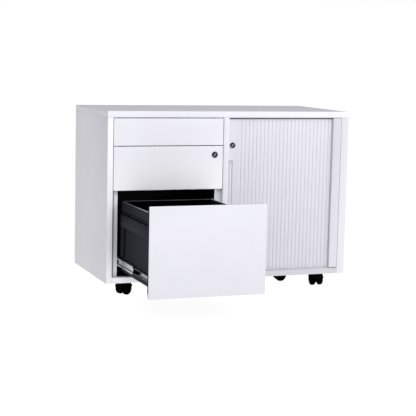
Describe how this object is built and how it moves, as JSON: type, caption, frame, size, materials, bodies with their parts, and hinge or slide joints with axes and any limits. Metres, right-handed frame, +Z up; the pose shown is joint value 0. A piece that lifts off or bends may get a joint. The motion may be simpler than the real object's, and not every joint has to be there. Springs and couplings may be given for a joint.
{
  "type": "mobile tambour caddy",
  "caption": "Low steel office caddy on swivel casters, with stacked drawers on the left and a compartment closed by a sideways-sliding slatted tambour door on the right.",
  "frame": {"origin": "on the floor, at the middle of the whole object's base in the stored pose, with the file drawer open. The cabinet's front plane lies 14 mm ahead of it", "axes": "+X to the right as seen from the front, +Y towards the back of the cabinet, +Z up. Drawers open towards -Y"},
  "size_m": [0.9, 0.832, 0.636],
  "materials": {
    "white_steel": "satin powder coat",
    "white_slats": "satin extruded plastic",
    "grey_plastic": "satin moulded plastic",
    "black_plastic": "moulded plastic",
    "black_steel": "semi-gloss black paint",
    "zinc_steel": "bright zinc plate",
    "lock_metal": "dark nickel",
    "wheel_nylon": "moulded nylon"
  },
  "bodies": {
    "cabinet": {"top_panel": "white_steel", "left_side": "white_steel", "right_side": "white_steel", "back_panel": "white_steel", "base_panel": "white_steel", "base_stiffeners": "white_steel", "centre_divider": "white_steel", "slide_posts": "white_steel", "track_cover": "white_steel", "side_liner": "white_steel", "top_track": "black_plastic", "bottom_track": "grey_plastic", "shelf": "white_steel", "shelf_clips": "zinc_steel", "panel_screws": "zinc_steel", "caster_plates": "zinc_steel", "outer_slides_upper": "zinc_steel", "outer_slides_middle": "zinc_steel", "outer_slides_file": "zinc_steel"},
    "runner_upper": {"centre_slides_upper": "zinc_steel"},
    "runner_middle": {"centre_slides_middle": "zinc_steel"},
    "runner_file": {"centre_slides_file": "zinc_steel"},
    "upper_drawer": {"upper_front": "white_steel", "upper_box": "black_steel", "inner_slides_upper": "zinc_steel", "slide_levers_upper": "black_plastic"},
    "middle_drawer": {"middle_front": "white_steel", "middle_box": "black_steel", "inner_slides_middle": "zinc_steel", "slide_levers_middle": "black_plastic", "drawer_lock_body": "lock_metal"},
    "drawer_lock": {"drawer_lock_plug": "lock_metal"},
    "lock_bar": {"lock_bar": "zinc_steel"},
    "file_drawer": {"file_front": "white_steel", "file_box": "black_steel", "inner_slides_file": "zinc_steel", "slide_levers_file": "black_plastic", "file_rails": "black_steel"},
    "tambour": {"lead_slat": "white_steel", "finger_pull": "grey_plastic", "tambour_curtain": "white_slats", "tambour_lock_body": "lock_metal"},
    "tambour_lock": {"tambour_lock_plug": "lock_metal"},
    "hood_front_left": {"hood_front_left": "black_plastic"},
    "wheel_front_left_a": {"wheel_front_left_a": "wheel_nylon"},
    "wheel_front_left_b": {"wheel_front_left_b": "wheel_nylon"},
    "hood_front_right": {"hood_front_right": "black_plastic"},
    "wheel_front_right_a": {"wheel_front_right_a": "wheel_nylon"},
    "wheel_front_right_b": {"wheel_front_right_b": "wheel_nylon"},
    "hood_middle": {"hood_middle": "black_plastic"},
    "wheel_middle_a": {"wheel_middle_a": "wheel_nylon"},
    "wheel_middle_b": {"wheel_middle_b": "wheel_nylon"},
    "hood_rear_left": {"hood_rear_left": "black_plastic"},
    "wheel_rear_left_a": {"wheel_rear_left_a": "wheel_nylon"},
    "wheel_rear_left_b": {"wheel_rear_left_b": "wheel_nylon"},
    "hood_rear_right": {"hood_rear_right": "black_plastic"},
    "wheel_rear_right_a": {"wheel_rear_right_a": "wheel_nylon"},
    "wheel_rear_right_b": {"wheel_rear_right_b": "wheel_nylon"}
  },
  "joints": [
    {"name": "drawer_file", "type": "slide", "parent": "cabinet", "child": "file_drawer", "axis": [0, -1, 0], "range_m": [-0.402, 0]},
    {"name": "drawer_middle", "type": "slide", "parent": "cabinet", "child": "middle_drawer", "axis": [0, -1, 0], "range_m": [0, 0.402]},
    {"name": "drawer_upper", "type": "slide", "parent": "cabinet", "child": "upper_drawer", "axis": [0, -1, 0], "range_m": [0, 0.402]},
    {"name": "runner_file", "type": "slide", "parent": "cabinet", "child": "runner_file", "axis": [0, -1, 0], "range_m": [-0.2011, 0.0001]},
    {"name": "runner_middle", "type": "slide", "parent": "cabinet", "child": "runner_middle", "axis": [0, -1, 0], "range_m": [-0.0001, 0.2011]},
    {"name": "runner_upper", "type": "slide", "parent": "cabinet", "child": "runner_upper", "axis": [0, -1, 0], "range_m": [-0.0001, 0.2011]},
    {"name": "lock_drawers", "type": "hinge", "parent": "middle_drawer", "child": "drawer_lock", "pos_m": [-0.064, -0.014, 0.486], "axis": [0, 1, 0], "range_deg": [-1.5, 91.5]},
    {"name": "lock_rod", "type": "slide", "parent": "cabinet", "child": "lock_bar", "axis": [0, 0, 1], "range_m": [0, 0.006]},
    {"name": "lock_tambour", "type": "hinge", "parent": "tambour", "child": "tambour_lock", "pos_m": [0.005, -0.005, 0.5175], "axis": [0, -1, 0], "range_deg": [0, 90]},
    {"name": "tambour_slide", "type": "slide", "parent": "cabinet", "child": "tambour", "axis": [1, 0, 0], "range_m": [0, 0.355], "deforming": ["tambour_curtain"]},
    {"name": "wheel_front_left_swivel", "type": "hinge", "parent": "cabinet", "child": "hood_front_left", "pos_m": [-0.359, 0.044, 0.048], "axis": [0, 0, 1], "continuous": true},
    {"name": "wheel_front_left_a", "type": "hinge", "parent": "hood_front_left", "child": "wheel_front_left_a", "pos_m": [-0.37257, 0.03552, 0.021], "axis": [0.5299, -0.848, 0], "continuous": true},
    {"name": "wheel_front_left_b", "type": "hinge", "parent": "hood_front_left", "child": "wheel_front_left_b", "pos_m": [-0.37257, 0.03552, 0.021], "axis": [0.5299, -0.848, 0], "continuous": true},
    {"name": "wheel_front_right_swivel", "type": "hinge", "parent": "cabinet", "child": "hood_front_right", "pos_m": [0.359, 0.044, 0.048], "axis": [0, 0, 1], "continuous": true},
    {"name": "wheel_front_right_a", "type": "hinge", "parent": "hood_front_right", "child": "wheel_front_right_a", "pos_m": [0.359, 0.028, 0.021], "axis": [1, 0, 0], "continuous": true},
    {"name": "wheel_front_right_b", "type": "hinge", "parent": "hood_front_right", "child": "wheel_front_right_b", "pos_m": [0.359, 0.028, 0.021], "axis": [1, 0, 0], "continuous": true},
    {"name": "wheel_middle_swivel", "type": "hinge", "parent": "cabinet", "child": "hood_middle", "pos_m": [0.248, 0.145, 0.048], "axis": [0, 0, 1], "continuous": true},
    {"name": "wheel_middle_a", "type": "hinge", "parent": "hood_middle", "child": "wheel_middle_a", "pos_m": [0.26376, 0.14222, 0.021], "axis": [0.1736, 0.9848, 0], "continuous": true},
    {"name": "wheel_middle_b", "type": "hinge", "parent": "hood_middle", "child": "wheel_middle_b", "pos_m": [0.26376, 0.14222, 0.021], "axis": [0.1736, 0.9848, 0], "continuous": true},
    {"name": "wheel_rear_left_swivel", "type": "hinge", "parent": "cabinet", "child": "hood_rear_left", "pos_m": [-0.359, 0.358, 0.048], "axis": [0, 0, 1], "continuous": true},
    {"name": "wheel_rear_left_a", "type": "hinge", "parent": "hood_rear_left", "child": "wheel_rear_left_a", "pos_m": [-0.36447, 0.34297, 0.021], "axis": [0.9397, -0.342, 0], "continuous": true},
    {"name": "wheel_rear_left_b", "type": "hinge", "parent": "hood_rear_left", "child": "wheel_rear_left_b", "pos_m": [-0.36447, 0.34297, 0.021], "axis": [0.9397, -0.342, 0], "continuous": true},
    {"name": "wheel_rear_right_swivel", "type": "hinge", "parent": "cabinet", "child": "hood_rear_right", "pos_m": [0.359, 0.358, 0.048], "axis": [0, 0, 1], "continuous": true},
    {"name": "wheel_rear_right_a", "type": "hinge", "parent": "hood_rear_right", "child": "wheel_rear_right_a", "pos_m": [0.367, 0.34414, 0.021], "axis": [0.866, 0.5, 0], "continuous": true},
    {"name": "wheel_rear_right_b", "type": "hinge", "parent": "hood_rear_right", "child": "wheel_rear_right_b", "pos_m": [0.367, 0.34414, 0.021], "axis": [0.866, 0.5, 0], "continuous": true}
  ],
  "couplings": [
    {"joint": "runner_file", "follows": "drawer_file", "ratio": 0.5},
    {"joint": "runner_middle", "follows": "drawer_middle", "ratio": 0.5},
    {"joint": "runner_upper", "follows": "drawer_upper", "ratio": 0.5},
    {"joint": "lock_drawers", "follows": "lock_rod", "rad_per_m": 261.8}
  ]
}
